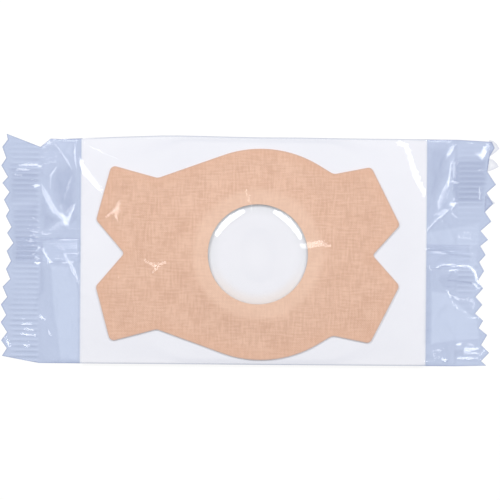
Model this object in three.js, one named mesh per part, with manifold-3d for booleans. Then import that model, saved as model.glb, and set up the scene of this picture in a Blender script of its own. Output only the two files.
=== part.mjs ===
// Adhesive eye patch, as it comes: a butterfly of woven plaster with a clear window dome, on its
// release liner, sealed in a clear pouch with a lap seal on the back and a crimped seal at each end.
//
// Millimetres, +Z up. The pouch lies on its back, with the window looking up and its long axis
// along X. The plaster is drawn around the middle of the window. At the end the whole part is moved
// so that the origin lies under the middle of its box, at the level of the surface it rests on.

import * as THREE from 'three';
import { mergeVertices } from 'three/addons/utils/BufferGeometryUtils.js';
import Module from 'manifold-3d';

// Window dome: a shallow clear dome with a flat flange that the plaster holds down
const windowDiameter = 35;
const domeRise = 5.5;
const domeWall = 0.4;
const flangeWidth = 6;
const flangeThickness = 0.4;

// Plaster outline, from the window outwards
const plasterThickness = 0.45;
const bulgeMargin = 13.2;
const bulgeRadius = 39;
const bulgeShift = 5.2;
const bulgeSlopeLeft = 19.7;
const bulgeSlopeRight = 31;
const leftWaistReach = 10;
const leftWaistDrop = 10.3;
const leftCornerReach = 17.9;
const leftTipReach = 23.1;
const leftNotchDepth = 9.9;
const rightWaistReach = 3.1;
const rightWaistDrop = 8.5;
const rightCornerReach = 12.8;
const rightTipReach = 23;
const rightNotchDepth = 9.5;
const armCornerDrop = 5.9;
const leftTipHalfGap = 11.6;
const rightTipHalfGap = 10.6;
const cornerRadius = 1.8;
const notchRadius = 1.2;
const waistRadius = 3;

// Release liner: a paper sheet that shows past the plaster on every side
const linerThickness = 0.2;
const linerMarginLeft = 5.2;
const linerMarginRight = 9.1;
const linerMarginTop = 3.4;
const linerMarginBottom = 1.4;
const linerCornerRadius = 0.6;

// Pouch: one web of film, wrapped round and lap sealed along its back
const filmThickness = 0.15;
const pouchSideClearance = 0.35;
const clearZoneLeft = 14.5;
const clearZoneRight = 10.9;
const lapSealWidth = 8.5;
const lapSealRoot = 4.5;
const lapSlit = 0.06;
const lapFoldGap = 0.12;

// End seals: crimped bands with ribs along X and a zigzag cut
const crimpWidthLeft = 13.2;
const crimpWidthRight = 13;
const ribPitch = 1.8;
const ribHeight = 0.3;
const toothPitch = 6.05;
const toothDepth = 2.2;
const leftEndInsets = [0.5, 0, 2.1, 0.2, 0.4];
const rightEndInsets = [-0.6, 1.3, 3.9, 4.7, 3];
const puckerDepth = 3.1;
const puckerRun = 3.6;
const cornerFlare = 1.8;
const cornerTaper = 2.2;

// Clearances between the layers that lie on each other
const layerClearance = 0.1;
const filmClearance = 0.25;
const rimClearance = 0.3;

// Creases in the clear zones. Across a zone, 0 is the crimp and 1 the liner's end. Along it, -1 is
// the pouch's lower edge and 1 its upper edge. Height and half width are real sizes.
const leftCreases = [
  { from: [0.28, 0.93], to: [0.42, 0.8], height: 0.7, halfWidth: 1.2 },
  { from: [0.32, 0.93], to: [0.78, 0.72], height: 0.8, halfWidth: 1.3 },
  { from: [0.02, 0.6], to: [0.62, 0.28], height: 1.2, halfWidth: 2 },
  { from: [0.86, 0.42], to: [0.58, 0.2], height: 1.1, halfWidth: 1.8 },
  { from: [0.05, 0.02], to: [0.3, -0.1], height: 0.8, halfWidth: 1.4 },
  { from: [0.6, -0.04], to: [0.95, -0.26], height: 0.9, halfWidth: 1.8 },
  { from: [0, -0.56], to: [0.35, -0.75], height: 0.6, halfWidth: 1.6 },
];
const rightCreases = [
  { from: [0.1, 0.95], to: [0.35, 0.83], height: 0.8, halfWidth: 1.5 },
  { from: [0.08, 0.82], to: [0.52, 0.4], height: 1.1, halfWidth: 1.6 },
  { from: [0.18, 0.38], to: [0.95, 0.17], height: 1, halfWidth: 1.6 },
  { from: [0, -0.12], to: [0.55, -0.12], height: 0.8, halfWidth: 1.4 },
  { from: [0.9, -0.1], to: [0.7, -0.2], height: 0.6, halfWidth: 1.4 },
  { from: [0.1, -0.9], to: [0.75, -0.84], height: 0.7, halfWidth: 1.5 },
];

// Finish of the faceted curves and sheets
const arcSteps = 8;
const turnSteps = 56;
const domeSteps = 6;
const clearZoneSteps = 8;
const linerSteps = 18;
const crossSteps = 24;
const tentSlack = 1.25;
const tentSquareness = 3;
const hair = 0.04;

// Levels, from the surface that the pouch rests on up
const lapSealHeight = 2 * filmThickness + lapSlit;
const backUnderside = lapSealHeight + lapFoldGap;
const backTop = backUnderside + filmThickness;
const linerUnderside = backTop + layerClearance;
const linerTop = linerUnderside + linerThickness;
const plasterUnderside = linerTop + layerClearance;
const plasterTop = plasterUnderside + plasterThickness;
const flangeTop = plasterUnderside + flangeThickness;
const collarUnderside = flangeTop + layerClearance;
const collarTop = collarUnderside + plasterThickness;
const domeTop = plasterUnderside + domeRise;

// Plan sizes that follow from the ones above
const windowRadius = windowDiameter / 2;
const flangeRadius = windowRadius + flangeWidth;
const bulgeHalf = flangeRadius + bulgeMargin;
const linerLeft = -(flangeRadius + leftWaistReach + leftTipReach + linerMarginLeft);
const linerRight = flangeRadius + rightWaistReach + rightTipReach + linerMarginRight;
const linerLow = -(bulgeHalf + linerMarginBottom);
const linerHigh = bulgeHalf + linerMarginTop;
const pouchLow = linerLow - pouchSideClearance - filmThickness;
const pouchHigh = linerHigh + pouchSideClearance + filmThickness;
const pouchLeft = linerLeft - clearZoneLeft;
const pouchRight = linerRight + clearZoneRight;
const sealOverlap = 4 * filmThickness;

const wasm = await Module();
wasm.setup();

/** A closed geometry as a solid that can be joined and cut. */
function solid(geometry) {
  const bare = geometry.clone();
  bare.deleteAttribute('normal');
  bare.deleteAttribute('uv');
  const merged = mergeVertices(bare, 1e-4);
  return new wasm.Manifold(new wasm.Mesh({
    numProp: 3,
    vertProperties: new Float32Array(merged.attributes.position.array),
    triVerts: new Uint32Array(merged.index.array),
  }));
}

/** A named mesh of a solid, with its own material. */
function named(name, body, finish) {
  const mesh = body.getMesh();
  const geometry = new THREE.BufferGeometry();
  geometry.setAttribute('position', new THREE.BufferAttribute(mesh.vertProperties, 3));
  geometry.setIndex(new THREE.BufferAttribute(mesh.triVerts, 1));
  geometry.computeVertexNormals();
  const part = new THREE.Mesh(geometry, new THREE.MeshStandardMaterial(finish));
  part.name = name;
  return part;
}

/** A flat outline made solid between two levels. */
function prism(shape, low, high, curveSegments = arcSteps) {
  const geometry = new THREE.ExtrudeGeometry(shape, {
    depth: high - low,
    bevelEnabled: false,
    curveSegments,
  });
  geometry.translate(0, 0, low);
  return solid(geometry);
}

/** A profile of [radius, height] points turned round the window's axis. */
function turned(profile) {
  const points = profile.map(([radius, height]) => new THREE.Vector2(radius, height));
  const geometry = new THREE.LatheGeometry([...points, points[0].clone()], turnSteps);
  geometry.rotateX(Math.PI / 2);
  return solid(geometry);
}

/** An upright box between two corners. */
function block([x0, y0, z0], [x1, y1, z1]) {
  const geometry = new THREE.BoxGeometry(x1 - x0, y1 - y0, z1 - z0);
  geometry.translate((x0 + x1) / 2, (y0 + y1) / 2, (z0 + z1) / 2);
  return solid(geometry);
}

/** A sheet on a grid of stations, between an under and an upper surface. */
function sheet(xs, ys, under, upper) {
  const geometry = new THREE.BoxGeometry(1, 1, 1, xs.length - 1, ys.length - 1, 1);
  const position = geometry.attributes.position;
  for (let i = 0; i < position.count; i++) {
    const x = xs[Math.round((position.getX(i) + 0.5) * (xs.length - 1))];
    const y = ys[Math.round((position.getY(i) + 0.5) * (ys.length - 1))];
    const level = position.getZ(i) > 0 ? upper : under;
    position.setXYZ(i, x, y, level(x, y));
  }
  return solid(geometry);
}

/** Evenly spaced stations from one value to another. */
function stations(from, to, steps) {
  return Array.from({ length: steps + 1 }, (_, i) => from + ((to - from) * i) / steps);
}

/** A closed outline with every corner rounded by an arc of its own radius. */
function roundedOutline(corners) {
  const shape = new THREE.Shape();
  corners.forEach(({ at, radius }, i) => {
    const back = corners.at(i - 1).at.clone().sub(at).normalize();
    const ahead = corners[(i + 1) % corners.length].at.clone().sub(at).normalize();
    const half = Math.acos(back.dot(ahead)) / 2;
    const centre = back.clone().add(ahead).normalize().multiplyScalar(radius / Math.sin(half)).add(at);
    const reach = radius / Math.tan(half);
    const start = at.clone().addScaledVector(back, reach).sub(centre);
    const end = at.clone().addScaledVector(ahead, reach).sub(centre);
    const turnsIn = back.cross(ahead) > 0;
    shape.absarc(centre.x, centre.y, radius, start.angle(), end.angle(), turnsIn);
  });
  shape.closePath();
  return shape;
}

/** 0 below a, 1 above b, and a smooth rise between them. */
function rise(value, a, b) {
  return THREE.MathUtils.smoothstep(value, a, b);
}

/** Upper half of the plaster's outline, from the right notch to the left one. */
function plasterHalf() {
  const slopeLeft = Math.tan(THREE.MathUtils.degToRad(bulgeSlopeLeft));
  const slopeRight = Math.tan(THREE.MathUtils.degToRad(bulgeSlopeRight));
  const halfTurn = THREE.MathUtils.degToRad(bulgeSlopeLeft + bulgeSlopeRight) / 2;
  const bulgeCorner = bulgeHalf + bulgeRadius * (1 / Math.cos(halfTurn) - 1);
  const rightWaist = flangeRadius + rightWaistReach;
  const leftWaist = -(flangeRadius + leftWaistReach);
  const rightWaistY = bulgeHalf - rightWaistDrop;
  const leftWaistY = bulgeHalf - leftWaistDrop;
  const armCornerY = bulgeHalf - armCornerDrop;
  const crownX = bulgeShift;
  const leftFootX = crownX - (bulgeCorner - leftWaistY) / slopeLeft;
  const rightFootX = crownX + (bulgeCorner - rightWaistY) / slopeRight;
  const corner = (x, y, radius) => ({ at: new THREE.Vector2(x, y), radius });
  return [
    corner(rightWaist + rightTipReach - rightNotchDepth, 0, notchRadius),
    corner(rightWaist + rightTipReach, rightTipHalfGap, cornerRadius),
    corner(rightWaist + rightCornerReach, armCornerY, cornerRadius),
    corner(rightFootX, rightWaistY, waistRadius),
    corner(crownX, bulgeCorner, bulgeRadius),
    corner(leftFootX, leftWaistY, waistRadius),
    corner(leftWaist - leftCornerReach, armCornerY, cornerRadius),
    corner(leftWaist - leftTipReach, leftTipHalfGap, cornerRadius),
    corner(leftWaist - leftTipReach + leftNotchDepth, 0, notchRadius),
  ];
}

/** Woven plaster: butterfly outline, round hole, and a collar that rises over the dome's flange. */
function plaster() {
  const upper = plasterHalf();
  const lower = upper.slice(1, -1).reverse().map(({ at, radius }) => ({
    at: new THREE.Vector2(at.x, -at.y),
    radius,
  }));
  const fabric = prism(roundedOutline([...upper, ...lower]), plasterUnderside, plasterTop);
  const collarFoot = flangeRadius + 2 * plasterThickness;
  const collar = turned([
    [0, plasterUnderside],
    [collarFoot + plasterThickness, plasterUnderside],
    [collarFoot + plasterThickness, plasterUnderside + plasterThickness / 2],
    [collarFoot, plasterTop],
    [flangeRadius + rimClearance, collarTop],
    [0, collarTop],
  ]);
  const pocket = turned([
    [0, plasterUnderside - plasterThickness],
    [flangeRadius + rimClearance, plasterUnderside - plasterThickness],
    [flangeRadius + rimClearance, collarUnderside],
    [0, collarUnderside],
  ]);
  const hole = turned([
    [0, plasterUnderside - plasterThickness],
    [windowRadius, plasterUnderside - plasterThickness],
    [windowRadius, collarTop + plasterThickness],
    [0, collarTop + plasterThickness],
  ]);
  return fabric.add(collar).subtract(pocket).subtract(hole);
}

/** Height of the dome's outer surface at a distance from its axis. */
function domeHeight(distance) {
  const foot = windowRadius - rimClearance;
  const crown = domeTop - flangeTop;
  const ball = (foot * foot + crown * crown) / (2 * crown);
  return domeTop - ball + Math.sqrt(Math.max(ball * ball - distance * distance, 0));
}

/** Clear window: a flat flange round a shallow dome of even wall. */
function windowDome() {
  const foot = windowRadius - rimClearance;
  const outside = stations(foot, 0, domeSteps).map((radius) => [radius, domeHeight(radius)]);
  const inside = stations(0, foot - domeWall, domeSteps).map((radius) => [
    radius,
    Math.max(domeHeight(radius) - domeWall, plasterUnderside),
  ]);
  return turned([
    ...inside,
    [foot - domeWall, plasterUnderside],
    [flangeRadius, plasterUnderside],
    [flangeRadius, flangeTop],
    ...outside,
  ]);
}

/** Release liner: a flat paper sheet with eased corners. */
function releaseLiner() {
  const corner = (x, y) => ({ at: new THREE.Vector2(x, y), radius: linerCornerRadius });
  const outline = roundedOutline([
    corner(linerLeft, linerLow),
    corner(linerRight, linerLow),
    corner(linerRight, linerHigh),
    corner(linerLeft, linerHigh),
  ]);
  return prism(outline, linerUnderside, linerTop);
}

/** Height of the creases of one clear zone at a point of the film. */
function creaseHeight(creases, x, y, crimpX, linerX) {
  const middle = (pouchLow + pouchHigh) / 2;
  const half = (pouchHigh - pouchLow) / 2;
  const place = ([across, along]) => new THREE.Vector2(
    THREE.MathUtils.lerp(crimpX, linerX, across),
    middle + along * half,
  );
  const point = new THREE.Vector3(x, y, 0);
  return Math.max(0, ...creases.map(({ from, to, height, halfWidth }) => {
    const ends = [from, to].map(place).map(({ x: px, y: py }) => new THREE.Vector3(px, py, 0));
    const nearest = new THREE.Line3(...ends).closestPointToPoint(point, true, new THREE.Vector3());
    return height * Math.max(0, 1 - nearest.distanceTo(point) / halfWidth);
  }));
}

/** Underside of the upper film: a slack tent from the dome's crown to the seals and side folds. */
function filmUnderside(x, y) {
  const reachX = x < 0 ? -pouchLeft : pouchRight;
  const reachY = y < 0 ? -pouchLow : pouchHigh;
  const away = ((Math.abs(x) / reachX) ** tentSquareness
    + (Math.abs(y) / reachY) ** tentSquareness) ** (1 / tentSquareness);
  const sideMargin = Math.min(linerMarginTop, linerMarginBottom);
  const fromSide = Math.min(pouchHigh - y, y - pouchLow) - filmThickness;
  const overLiner = linerTop + filmClearance;
  const overFabric = plasterTop + filmClearance;
  const laid = THREE.MathUtils.lerp(overLiner, overFabric, rise(fromSide, 0, sideMargin));
  const tented = laid + (domeTop - laid) * Math.max(0, 1 - away) ** tentSlack;
  const distance = Math.hypot(x, y);
  const onContents = distance < flangeRadius
    ? Math.max(tented, domeHeight(Math.min(distance, windowRadius)), collarTop) + filmClearance
    : tented;
  const shut = rise(x, pouchLeft, linerLeft) * (1 - rise(x, linerRight, pouchRight));
  const creases = creaseHeight(leftCreases, x, y, pouchLeft, linerLeft)
    + creaseHeight(rightCreases, x, y, pouchRight, linerRight);
  const fade = rise(x, pouchLeft, pouchLeft + ribPitch)
    * (1 - rise(x, pouchRight - ribPitch, pouchRight))
    * rise(fromSide, 0, ribPitch);
  return backTop + hair + (onContents - backTop - hair) * shut + creases * fade;
}

/** Zigzag end of the pouch, as points from one side edge to the other. */
function toothedEnd(endX, outward, insets, fromY, toY) {
  const count = Math.round(Math.abs(toY - fromY) / toothPitch);
  const insetCurve = new THREE.SplineCurve(insets.map((inset, i) => new THREE.Vector2(i, inset)));
  return stations(fromY, toY, 2 * count).map((y, i) => {
    const along = Math.abs(y - pouchHigh) / (pouchHigh - pouchLow);
    const inset = insetCurve.getPoint(Math.min(along, 1)).y;
    const valley = i % 2 === 0 ? toothDepth : 0;
    return new THREE.Vector2(endX - outward * (inset + valley), y);
  });
}

/** Plan of the whole pouch: straight side folds, a pucker at one corner and toothed ends. */
function pouchPlan() {
  const endLeft = pouchLeft - crimpWidthLeft;
  const endRight = pouchRight + crimpWidthRight;
  return new THREE.Shape([
    new THREE.Vector2(pouchLeft, pouchLow),
    ...toothedEnd(endRight, 1, rightEndInsets, pouchLow + filmThickness, pouchHigh - filmThickness),
    new THREE.Vector2(pouchLeft + puckerRun, pouchHigh),
    new THREE.Vector2(pouchLeft, pouchHigh - puckerDepth),
    ...toothedEnd(endLeft, -1, leftEndInsets, pouchHigh + cornerFlare, pouchLow + cornerTaper),
  ]);
}

/** Plan of the space inside the pouch, a film's thickness in from the side folds and the pucker. */
function hollowPlan() {
  const wall = 2 * filmThickness;
  return new THREE.Shape([
    new THREE.Vector2(pouchLeft, pouchLow + filmThickness),
    new THREE.Vector2(pouchRight, pouchLow + filmThickness),
    new THREE.Vector2(pouchRight, pouchHigh - filmThickness),
    new THREE.Vector2(pouchLeft + puckerRun + wall, pouchHigh - filmThickness),
    new THREE.Vector2(pouchLeft, pouchHigh - puckerDepth - wall),
  ]);
}

/** Crimped band: both films pressed into ribs that run along X. */
function crimpBand(fromX, toX) {
  const margin = cornerFlare + toothDepth;
  const low = pouchLow - margin;
  const high = pouchHigh + margin;
  const ribs = Math.round((high - low) / ribPitch);
  const middle = backUnderside + filmThickness;
  const ys = stations(low, high, 2 * ribs);
  const wave = (y) => (ribHeight / 2) * Math.cos((2 * Math.PI * ribs * (y - low)) / (high - low));
  return sheet(
    [fromX, toX],
    ys,
    (x, y) => middle + wave(y) - filmThickness,
    (x, y) => middle + wave(y) + filmThickness,
  );
}

/** Lap seal: the web's two edges, face to face and folded flat against the back. */
function lapSeal() {
  const turn = filmThickness + lapSlit / 2;
  const tip = lapSealRoot - lapSealWidth;
  const column = block(
    [pouchLeft, lapSealRoot - turn, 0],
    [pouchRight, lapSealRoot + turn, backTop - hair],
  );
  const flap = block([pouchLeft, tip, 0], [pouchRight, lapSealRoot, lapSealHeight]);
  const mouth = block(
    [pouchLeft + filmThickness, lapSealRoot - lapSlit / 2, filmThickness],
    [pouchRight - filmThickness, lapSealRoot + lapSlit / 2, backTop + hair],
  );
  const slit = block(
    [pouchLeft + filmThickness, tip - lapSealWidth, filmThickness],
    [pouchRight - filmThickness, lapSealRoot + lapSlit / 2, filmThickness + lapSlit],
  );
  return { flap: column.add(flap), slit: mouth.add(slit) };
}

/** Clear pouch, one body: the web round its contents, its lap seal and its two crimped ends. */
function filmWrapper() {
  const inner = [
    ...stations(pouchLeft, linerLeft, clearZoneSteps),
    ...stations(linerLeft, linerRight, linerSteps).slice(1),
    ...stations(linerRight, pouchRight, clearZoneSteps).slice(1),
  ];
  const outer = [pouchLeft - sealOverlap, ...inner, pouchRight + sealOverlap];
  const skin = sheet(
    outer,
    stations(pouchLow, pouchHigh, crossSteps),
    () => 0,
    (x, y) => filmUnderside(x, y) + filmThickness,
  );
  const hollow = sheet(
    inner,
    stations(pouchLow + filmThickness, pouchHigh - filmThickness, crossSteps),
    () => 0,
    filmUnderside,
  );
  const ceiling = 2 * domeTop;
  const plan = pouchPlan();
  const shell = skin
    .intersect(prism(plan, backUnderside, ceiling))
    .subtract(hollow.intersect(prism(hollowPlan(), backTop, ceiling)));
  const bands = crimpBand(pouchLeft - 2 * crimpWidthLeft, pouchLeft - hair)
    .add(crimpBand(pouchRight + hair, pouchRight + 2 * crimpWidthRight))
    .intersect(prism(plan, -ceiling, ceiling));
  const { flap, slit } = lapSeal();
  return shell.add(bands).add(flap).subtract(slit);
}

const group = new THREE.Group();
group.add(
  named('film_wrapper', filmWrapper(), {
    color: 0xc3cfe4,
    roughness: 0.15,
    metalness: 0,
    transparent: true,
    opacity: 0.35,
  }),
  named('release_liner', releaseLiner(), { color: 0xf2f2f6, roughness: 0.6, metalness: 0 }),
  named('plaster', plaster(), { color: 0xe3bda5, roughness: 0.9, metalness: 0 }),
  named('window_dome', windowDome(), {
    color: 0xf4f5f8,
    roughness: 0.08,
    metalness: 0,
    transparent: true,
    opacity: 0.35,
  }),
);

// The origin goes under the middle of the whole part's box
const box = new THREE.Box3().setFromObject(group);
const centre = box.getCenter(new THREE.Vector3());
group.position.set(-centre.x, -centre.y, -box.min.z);

export default group;
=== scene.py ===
"""Adhesive eye patch on its release liner, sealed in a clear crimped pouch: the looks of the part."""

import logging
import math
from dataclasses import dataclass, field
from enum import Enum
from typing import Callable, Iterable

import bmesh
import bpy
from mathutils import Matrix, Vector, noise


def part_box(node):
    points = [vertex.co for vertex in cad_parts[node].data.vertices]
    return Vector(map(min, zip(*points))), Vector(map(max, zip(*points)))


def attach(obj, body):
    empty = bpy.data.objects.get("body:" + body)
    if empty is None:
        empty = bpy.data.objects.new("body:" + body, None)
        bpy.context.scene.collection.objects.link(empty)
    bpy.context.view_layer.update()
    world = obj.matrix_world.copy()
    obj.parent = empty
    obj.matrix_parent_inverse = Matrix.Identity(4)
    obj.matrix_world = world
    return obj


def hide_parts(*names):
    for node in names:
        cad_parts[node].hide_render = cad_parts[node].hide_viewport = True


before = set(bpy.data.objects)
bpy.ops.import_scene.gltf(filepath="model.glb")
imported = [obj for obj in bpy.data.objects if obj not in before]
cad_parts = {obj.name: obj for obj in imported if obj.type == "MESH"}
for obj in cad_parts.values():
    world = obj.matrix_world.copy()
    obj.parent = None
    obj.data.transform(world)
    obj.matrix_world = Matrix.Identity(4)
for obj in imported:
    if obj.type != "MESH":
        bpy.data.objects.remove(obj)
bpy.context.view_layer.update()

MM = 0.001
# Edges that bend by more radians than this stay sharp.
SHARP = 0.8
# Width of a thin crease in the film, in millimetres.
HAIR = 0.3
LOG = logging.getLogger("eye_patch")

Height = Callable[[float, float], float]
Socket = bpy.types.NodeSocket
Node = bpy.types.Node
Tree = bpy.types.NodeTree
Mesh = bmesh.types.BMesh


class Slot(Enum):
    """The record's material slots."""

    FILM = "clear_film"
    LINER = "liner_paper"
    PLASTER = "woven_plaster"
    WINDOW = "clear_window"


def smooth_step(value: float, low: float, high: float) -> float:
    """A smooth rise from 0 at low to 1 at high.

    Args:
        value: Where to read the rise.
        low: Where it starts.
        high: Where it ends.

    Returns:
        A share from 0 to 1.
    """
    share = min(max((value - low) / (high - low), 0.0), 1.0)
    return share * share * (3 - 2 * share)


def mix(first: float, second: float, share: float) -> float:
    """A value the given share of the way from first to second."""
    return first + (second - first) * share


def nearest(x: float, y: float, start: Iterable[float], stop: Iterable[float]) -> tuple[float, float]:
    """Where a straight line in plan comes nearest to a point.

    Args:
        x: The point's x.
        y: The point's y.
        start: The line's first end, as x and y.
        stop: Its other end.

    Returns:
        The share of the line's length from its start, and the distance there.
    """
    (ax, ay), (bx, by) = start, stop
    dx, dy = bx - ax, by - ay
    share = min(max(((x - ax) * dx + (y - ay) * dy) / (dx * dx + dy * dy + 1e-9), 0.0), 1.0)
    return share, math.hypot(x - ax - dx * share, y - ay - dy * share)


def ripple(x: float, y: float, along: float, across: float, layer: float) -> float:
    """Smooth noise in plan, from -1 to 1, with a scale for each axis."""
    return noise.noise(Vector((x * along, y * across, layer)))


def node_box(name: str) -> tuple[Vector, Vector]:
    """The lowest and highest corner of a solid of the frame, in millimetres."""
    low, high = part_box(name)
    return low / MM, high / MM


class Nodes:
    """A node tree under construction."""

    def __init__(self, tree: Tree) -> None:
        """Starts on an existing tree.

        Args:
            tree: The material's or the group's node tree.
        """
        self.tree = tree

    def add(self, kind: str, inputs: dict | None = None, **settings: object) -> Node:
        """Adds a node, sets or links its inputs and sets its own properties.

        Args:
            kind: Blender's name of the node type.
            inputs: Socket name or number to a value or to the socket that feeds it.
            **settings: Properties of the node itself.

        Returns:
            The new node.
        """
        node = self.tree.nodes.new(kind)
        for name, value in settings.items():
            setattr(node, name, value)
        for key, value in (inputs or {}).items():
            if isinstance(value, Socket):
                self.tree.links.new(value, node.inputs[key])
            else:
                node.inputs[key].default_value = value
        return node

    def math(self, operation: str, first: float | Socket, second: float | Socket = 0.0) -> Socket:
        """A Math node's result."""
        return self.add("ShaderNodeMath", {0: first, 1: second}, operation=operation).outputs[0]

    def blend(self, share: float | Socket, first: tuple | Socket, second: tuple | Socket) -> Socket:
        """A colour the given share of the way from first to second."""
        node = self.add("ShaderNodeMix", {0: share, 6: first, 7: second}, data_type="RGBA")
        return node.outputs[2]

    def ramp(self, value: Socket, low: float, high: float, to_low: float, to_high: float) -> Socket:
        """A value mapped from one range to another, and held at its ends."""
        node = self.add("ShaderNodeMapRange", {0: value, 1: low, 2: high, 3: to_low, 4: to_high})
        return node.outputs[0]

    def cloud(self, place: Socket, scale: float | Socket, detail: float) -> Socket:
        """A cloudy value, from 0 to 1."""
        inputs = {"Vector": place, "Scale": scale, "Detail": detail}
        return self.add("ShaderNodeTexNoise", inputs).outputs["Fac"]

    def stretched(self, place: Socket, scale: tuple) -> Socket:
        """Coordinates scaled along each axis."""
        return self.add("ShaderNodeMapping", {"Vector": place, "Scale": scale}).outputs[0]

    def bump(self, strength: float, distance: float, height: Socket) -> Socket:
        """The surface's normal, tilted by a height."""
        inputs = {"Strength": strength, "Distance": distance, "Height": height}
        return self.add("ShaderNodeBump", inputs).outputs[0]

    def layered(self, share: float | Socket, first: Node, second: Node) -> Node:
        """A shader the given share of the way from first to second."""
        return self.add("ShaderNodeMixShader", {0: share, 1: first.outputs[0], 2: second.outputs[0]})

    def place(self) -> Socket:
        """The piece's own coordinates, in metres."""
        return self.add("ShaderNodeTexCoord").outputs["Object"]

    def attribute(self, name: str) -> Socket:
        """A mask stored at the piece's points."""
        return self.add("ShaderNodeAttribute", attribute_name=name).outputs["Fac"]


class Texture:
    """The shader node groups that several materials share, each built once."""

    built: dict[str, Tree] = {}

    @classmethod
    def group(cls, name: str, inputs: dict[str, tuple[str, object]], outputs: Iterable[str]) -> Nodes:
        """Starts a new node group.

        Args:
            name: The group's name.
            inputs: Name to the socket's kind and value.
            outputs: Names of the values that it puts out.

        Returns:
            The group's tree, with its input node as the first node.
        """
        tree = bpy.data.node_groups.new(name, "ShaderNodeTree")
        for label, (kind, value) in inputs.items():
            socket = tree.interface.new_socket(label, in_out="INPUT", socket_type=f"NodeSocket{kind}")
            if value is not None:
                socket.default_value = value
        for label in outputs:
            tree.interface.new_socket(label, in_out="OUTPUT", socket_type="NodeSocketFloat")
        cls.built[name] = tree
        nodes = Nodes(tree)
        nodes.add("NodeGroupInput")
        return nodes

    @classmethod
    def mottle(cls) -> Tree:
        """Builds soft cloudy variation at two scales, for paper, plaster and film.

        Returns:
            The group, which puts out Mottle and Grain.
        """
        if "soft_mottle" not in cls.built:
            n = cls.group(
                "soft_mottle",
                {"Place": ("Vector", None), "Size": ("Float", 100.0), "Contrast": ("Float", 1.0)},
                ["Mottle", "Grain"],
            )
            given = n.tree.nodes[0].outputs
            cloud = n.cloud(given["Place"], given["Size"], 3.0)
            grain = n.cloud(given["Place"], n.math("MULTIPLY", given["Size"], 14.0), 2.0)
            swing = n.math("MULTIPLY", n.math("SUBTRACT", cloud, 0.5), given["Contrast"])
            n.add("NodeGroupOutput", {"Mottle": n.math("ADD", swing, 0.5), "Grain": grain})
        return cls.built["soft_mottle"]

    @classmethod
    def weave(cls) -> Tree:
        """Builds a plain weave: threads over and under each other, of uneven thickness.

        Returns:
            The group, which puts out Height and Thread.
        """
        if "plain_weave" not in cls.built:
            n = cls.group(
                "plain_weave",
                {"Place": ("Vector", None), "Pitch": ("Float", 0.0007), "Slub": ("Float", 0.3)},
                ["Height", "Thread"],
            )
            given = n.tree.nodes[0].outputs
            place = given["Place"]
            turn = n.math("DIVIDE", math.tau, given["Pitch"])
            axes = n.add("ShaderNodeSeparateXYZ", {0: place}).outputs
            slub = n.math("MULTIPLY", n.cloud(place, 220.0, 1.0), n.math("MULTIPLY", given["Slub"], 3.0))
            turned = [n.math("ADD", n.math("MULTIPLY", axes[axis], turn), slub) for axis in "XY"]
            across, along = (n.math("SINE", angle) for angle in turned)
            lifted = n.ramp(n.math("MULTIPLY", across, along), -1.0, 1.0, 0.0, 1.0)
            weft = n.cloud(n.stretched(place, (200.0, 1600.0, 1.0)), 1.0, 1.0)
            warp = n.cloud(n.stretched(place, (1600.0, 200.0, 1.0)), 1.0, 1.0)
            thread = n.math("MULTIPLY", n.math("ADD", weft, warp), 0.5)
            n.add("NodeGroupOutput", {"Height": lifted, "Thread": thread})
        return cls.built["plain_weave"]

    @staticmethod
    def use(nodes: Nodes, tree: Tree, **inputs: float | Socket) -> bpy.types.bpy_prop_collection:
        """The outputs of a group, placed in a material and fed by name."""
        return nodes.add("ShaderNodeGroup", inputs, node_tree=tree).outputs


def new_material(name: str) -> tuple[bpy.types.Material, Nodes, Node]:
    """A bare node material.

    Args:
        name: The material's name.

    Returns:
        The material, its nodes and its output node.
    """
    material = bpy.data.materials.new(name)
    material.use_nodes = True
    material.node_tree.nodes.clear()
    nodes = Nodes(material.node_tree)
    return material, nodes, nodes.add("ShaderNodeOutputMaterial")


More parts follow.
